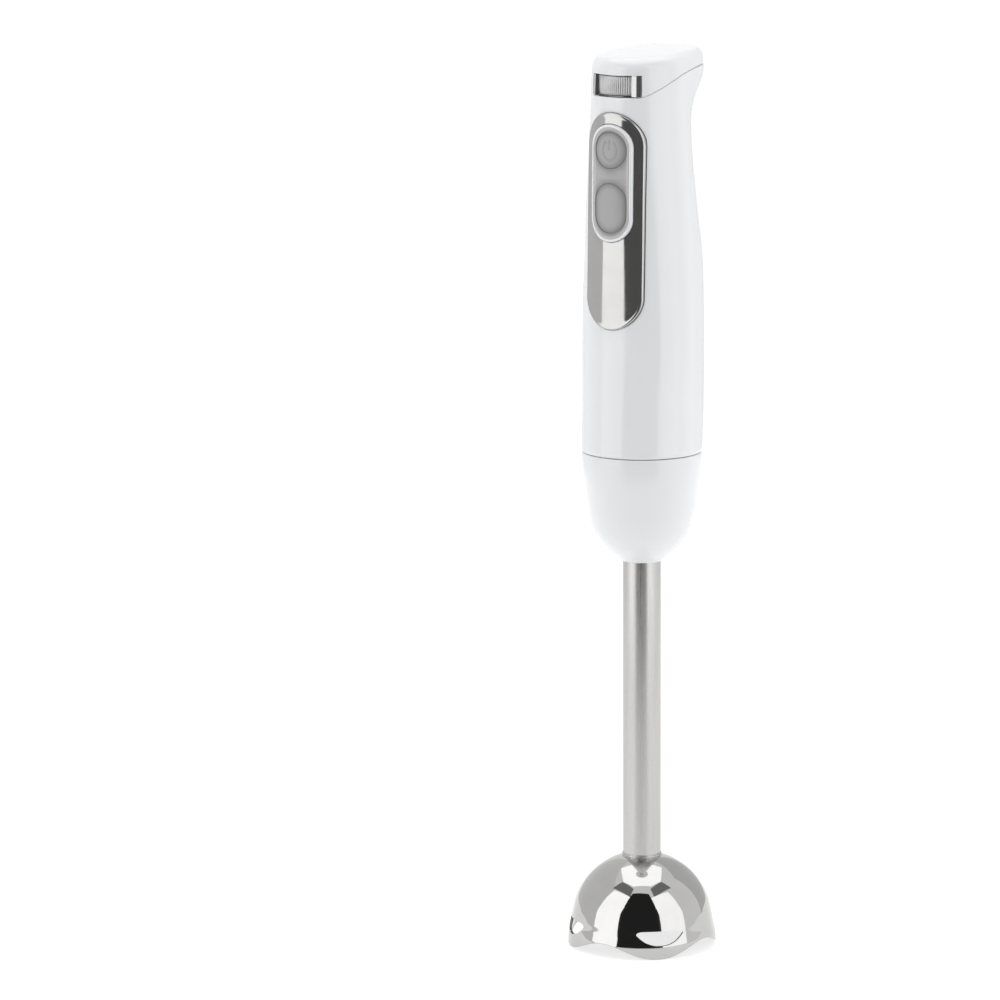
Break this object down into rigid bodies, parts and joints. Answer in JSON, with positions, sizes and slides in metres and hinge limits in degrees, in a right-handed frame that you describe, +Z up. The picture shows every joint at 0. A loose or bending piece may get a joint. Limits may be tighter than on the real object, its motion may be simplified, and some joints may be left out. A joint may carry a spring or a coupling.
{
  "type": "immersion blender",
  "caption": "Hand-held stick blender: tapered motor handle with chrome control strip, two buttons and speed wheel, twist-off steel shaft, lobed bell guard over a blade.",
  "frame": {"origin": "on the tool's axis, in the plane that the four lobes of the bell guard stand on", "axes": "+Z up the shaft to the top of the handle, -Y is the side with the buttons, +X is on the right when the buttons face the viewer"},
  "size_m": [0.0624, 0.0624, 0.3804],
  "materials": {
    "white_shell": "glossy moulded white",
    "white_cap": "glossy moulded white",
    "white_collar": "glossy moulded white",
    "dial_chrome": "mirror plated",
    "trim_chrome": "mirror plated",
    "soft_pad": "soft touch, matte grey",
    "button_grey": "soft touch, matte grey",
    "black_rubber": "matte",
    "spring_steel": "bright drawn",
    "dial_silver": "silver satin plastic, ribbed",
    "machined_steel": "turned",
    "dark_plastic": "moulded, matte",
    "board_green": "printed board",
    "capacitor_yellow": "cast resin",
    "lamination_steel": "stacked sheet",
    "copper_wire": "varnished copper wire",
    "cast_alloy": "die cast",
    "bronze": "sintered bronze",
    "brass_sheet": "pressed",
    "carbon": "pressed carbon",
    "commutator_copper": "turned copper",
    "fan_nylon": "moulded nylon",
    "tube_steel": "satin brushed stainless",
    "bell_steel": "mirror polished stainless",
    "blade_steel": "ground stainless"
  },
  "bodies": {
    "handle": {"housing": "white_shell", "top_cap": "white_cap", "dial_frame": "dial_chrome", "trim_plate": "trim_chrome", "button_bezel": "soft_pad", "cord_gland": "black_rubber", "speed_potentiometer": "dark_plastic", "dial_carrier": "dark_plastic", "switch_board": "board_green", "power_switch": "dark_plastic", "turbo_switch": "dark_plastic", "suppressor_capacitor": "capacitor_yellow", "board_screws": "machined_steel", "motor_chassis": "dark_plastic", "damper_rings": "black_rubber", "stator_core": "lamination_steel", "field_coils": "copper_wire", "upper_bracket": "cast_alloy", "lower_bracket": "cast_alloy", "upper_bearing": "bronze", "lower_bearing": "bronze", "through_bolts": "machined_steel", "brush_holders": "brass_sheet", "carbon_brushes": "carbon", "brush_springs": "spring_steel", "motor_base": "dark_plastic", "base_screws": "machined_steel", "power_spring": "spring_steel", "turbo_spring": "spring_steel"},
    "power_key": {"power_button": "button_grey"},
    "turbo_key": {"turbo_button": "button_grey"},
    "speed_wheel": {"speed_dial": "dial_silver", "dial_shaft": "machined_steel"},
    "armature": {"armature_shaft": "machined_steel", "armature_core": "lamination_steel", "armature_winding": "copper_wire", "commutator": "commutator_copper", "cooling_fan": "fan_nylon", "drive_dog": "machined_steel"},
    "click_ring": {"lock_ring": "spring_steel"},
    "foot": {"foot_collar": "white_collar", "bayonet_hub": "dark_plastic", "shaft_tube": "tube_steel", "bell_guard": "bell_steel", "neck_ring": "tube_steel", "bearing_carrier": "machined_steel", "upper_bush": "bronze", "lower_bush": "bronze", "shaft_seal": "black_rubber"},
    "blade_shaft": {"drive_rod": "machined_steel", "coupling_socket": "dark_plastic", "blade": "blade_steel", "blade_nut": "machined_steel", "retaining_clip": "spring_steel"}
  },
  "joints": [
    {"name": "power_press", "type": "slide", "parent": "handle", "child": "power_key", "axis": [0, 1, 0], "range_m": [0, 0.0012], "stiffness_N_per_m": 900, "springref_m": -0.002, "deforming": ["power_spring"]},
    {"name": "turbo_press", "type": "slide", "parent": "handle", "child": "turbo_key", "axis": [0, 1, 0], "range_m": [0, 0.0012], "stiffness_N_per_m": 900, "springref_m": -0.002, "deforming": ["turbo_spring"]},
    {"name": "speed_turn", "type": "hinge", "parent": "handle", "child": "speed_wheel", "pos_m": [0, -0.0023, 0.366], "axis": [0, 0, 1], "range_deg": [0, 260]},
    {"name": "motor_spin", "type": "hinge", "parent": "handle", "child": "armature", "pos_m": [0, 0, 0.26], "axis": [0, 0, 1], "continuous": true},
    {"name": "foot_twist", "type": "hinge", "parent": "handle", "child": "click_ring", "pos_m": [0, 0, 0.219], "axis": [0, 0, 1], "range_deg": [0, 50]},
    {"name": "foot_release", "type": "slide", "parent": "click_ring", "child": "foot", "axis": [0, 0, -1], "range_m": [0, 0.03]},
    {"name": "blade_spin", "type": "hinge", "parent": "foot", "child": "blade_shaft", "pos_m": [0, 0, 0.1], "axis": [0, 0, 1], "continuous": true}
  ],
  "couplings": [
    {"joint": "blade_spin", "follows": "motor_spin", "ratio": 1}
  ]
}
